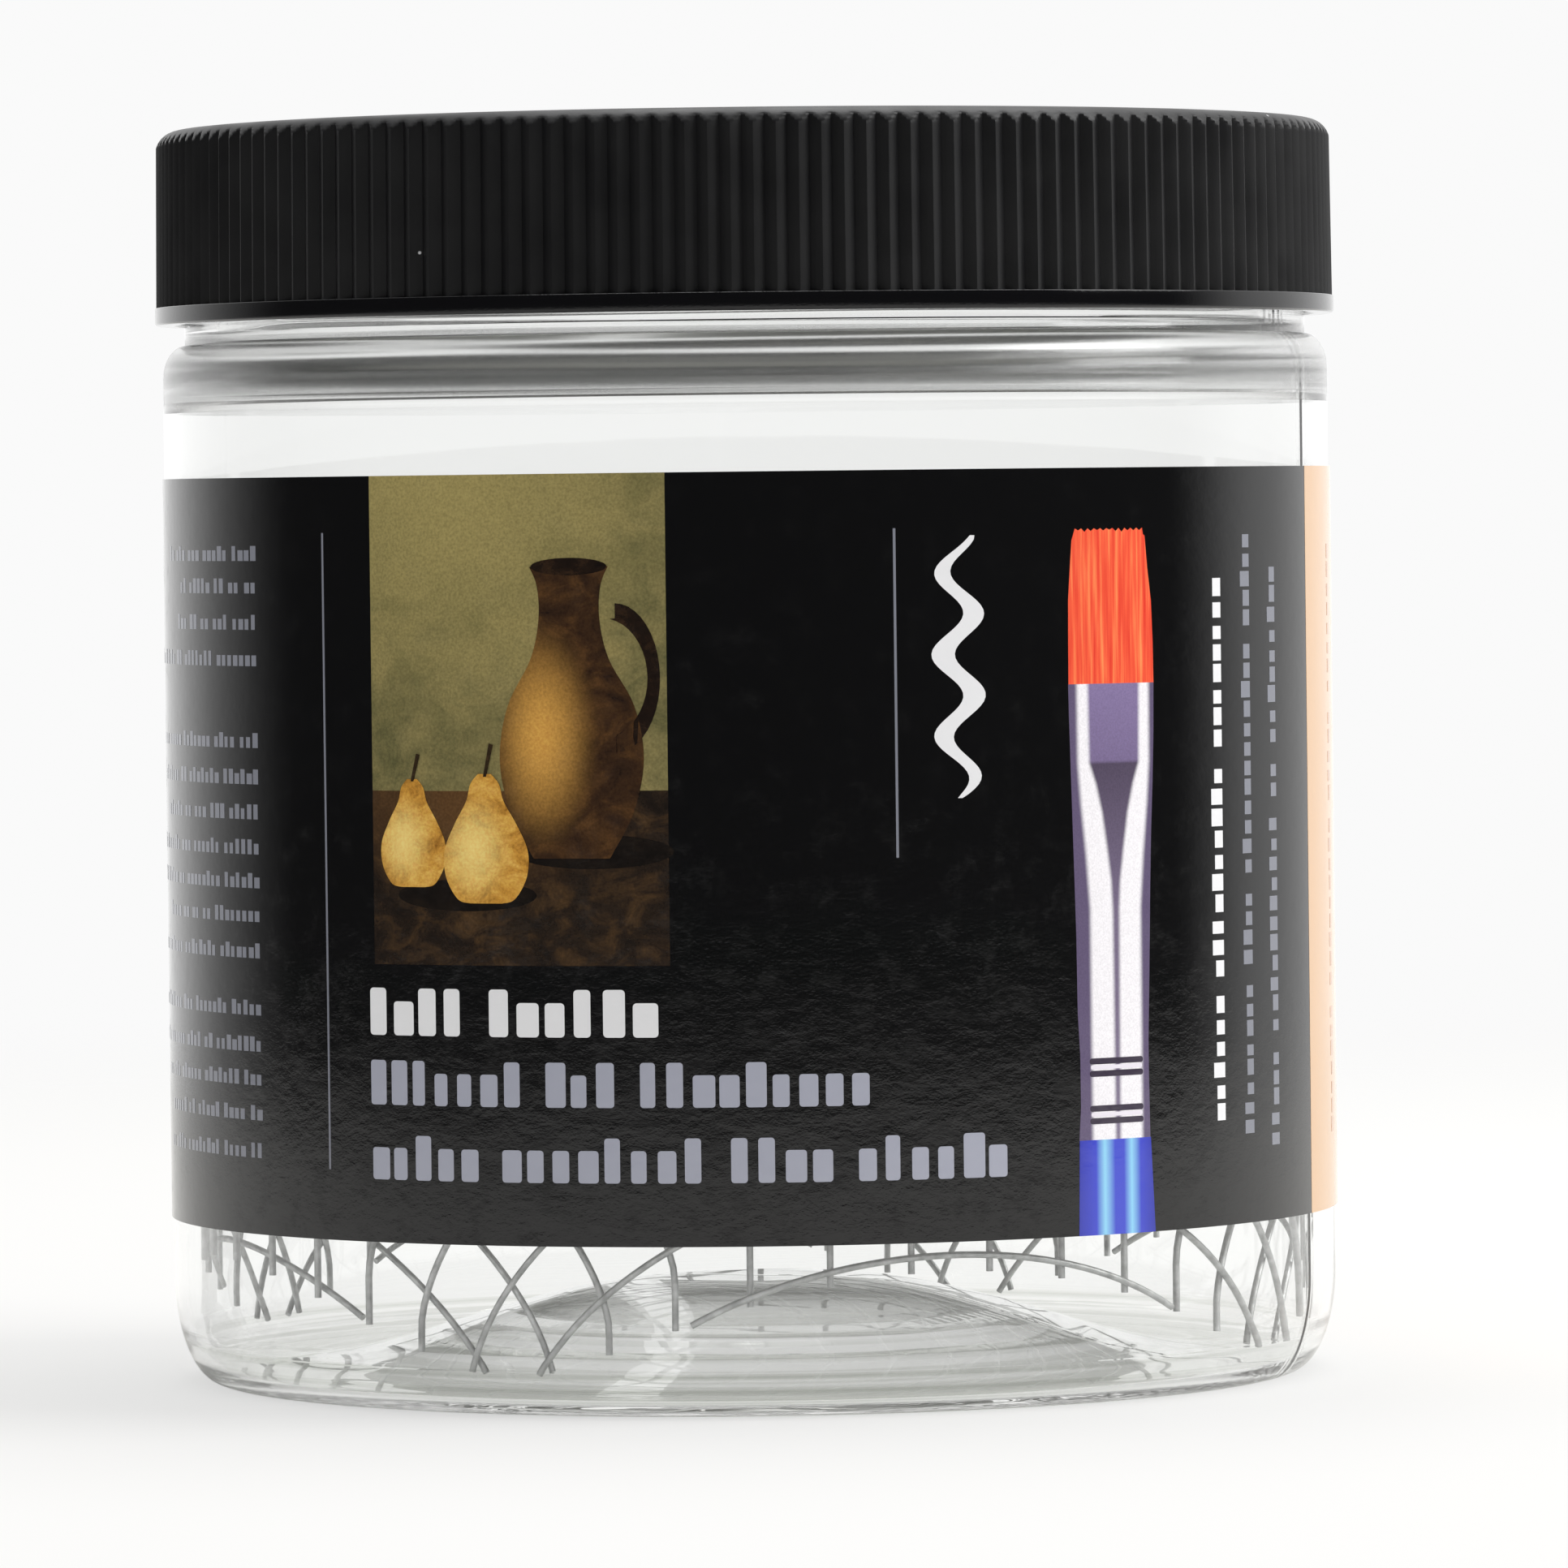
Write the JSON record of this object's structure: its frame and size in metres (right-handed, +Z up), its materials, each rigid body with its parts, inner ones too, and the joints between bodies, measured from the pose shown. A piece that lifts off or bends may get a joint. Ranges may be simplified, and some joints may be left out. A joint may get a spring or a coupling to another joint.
{
  "type": "brush washer with lid",
  "caption": "Clear straight-sided jar with a ribbed screw cap, a wrap-round label and a pressed wire mesh screen standing on its base, for rinsing brushes.",
  "frame": {"origin": "centre of the jar's base, on the surface it stands on", "axes": "+Z up along the jar's axis, -Y to the front of the label, +X to the right seen from the front"},
  "size_m": [0.0934, 0.0934, 0.0988],
  "materials": {
    "clear_plastic": "clear gloss",
    "black_plastic": "satin black",
    "liner_foam": "matt white",
    "label_film": "gloss black print",
    "zinc_wire": "zinc plated"
  },
  "bodies": {
    "jar": {"jar": "clear_plastic", "label": "label_film"},
    "liner": {"lid_liner": "liner_foam"},
    "lid": {"lid": "black_plastic"},
    "screen": {"screen_warp_wire_01": "zinc_wire", "screen_warp_wire_02": "zinc_wire", "screen_warp_wire_03": "zinc_wire", "screen_warp_wire_04": "zinc_wire", "screen_warp_wire_05": "zinc_wire", "screen_warp_wire_06": "zinc_wire", "screen_warp_wire_07": "zinc_wire", "screen_warp_wire_08": "zinc_wire", "screen_warp_wire_09": "zinc_wire", "screen_warp_wire_10": "zinc_wire", "screen_warp_wire_11": "zinc_wire", "screen_warp_wire_12": "zinc_wire", "screen_warp_wire_13": "zinc_wire", "screen_warp_wire_14": "zinc_wire", "screen_warp_wire_15": "zinc_wire", "screen_warp_wire_16": "zinc_wire", "screen_weft_wire_01": "zinc_wire", "screen_weft_wire_02": "zinc_wire", "screen_weft_wire_03": "zinc_wire", "screen_weft_wire_04": "zinc_wire", "screen_weft_wire_05": "zinc_wire", "screen_weft_wire_06": "zinc_wire", "screen_weft_wire_07": "zinc_wire", "screen_weft_wire_08": "zinc_wire", "screen_weft_wire_09": "zinc_wire", "screen_weft_wire_10": "zinc_wire", "screen_weft_wire_11": "zinc_wire", "screen_weft_wire_12": "zinc_wire", "screen_weft_wire_13": "zinc_wire", "screen_weft_wire_14": "zinc_wire", "screen_weft_wire_15": "zinc_wire", "screen_weft_wire_16": "zinc_wire"}
  },
  "joints": [
    {"name": "lid_lift", "type": "slide", "parent": "jar", "child": "liner", "axis": [0, 0, 1], "range_m": [0, 0.01524]},
    {"name": "lid_turn", "type": "hinge", "parent": "liner", "child": "lid", "pos_m": [0, 0, 0.0962], "axis": [0, 0, 1], "range_deg": [0, 1080]},
    {"name": "screen_lift", "type": "slide", "parent": "jar", "child": "screen", "axis": [0, 0, 1], "range_m": [0, 0.058]}
  ],
  "couplings": [
    {"joint": "lid_lift", "follows": "lid_turn", "m_per_rad": 0.0008085}
  ]
}
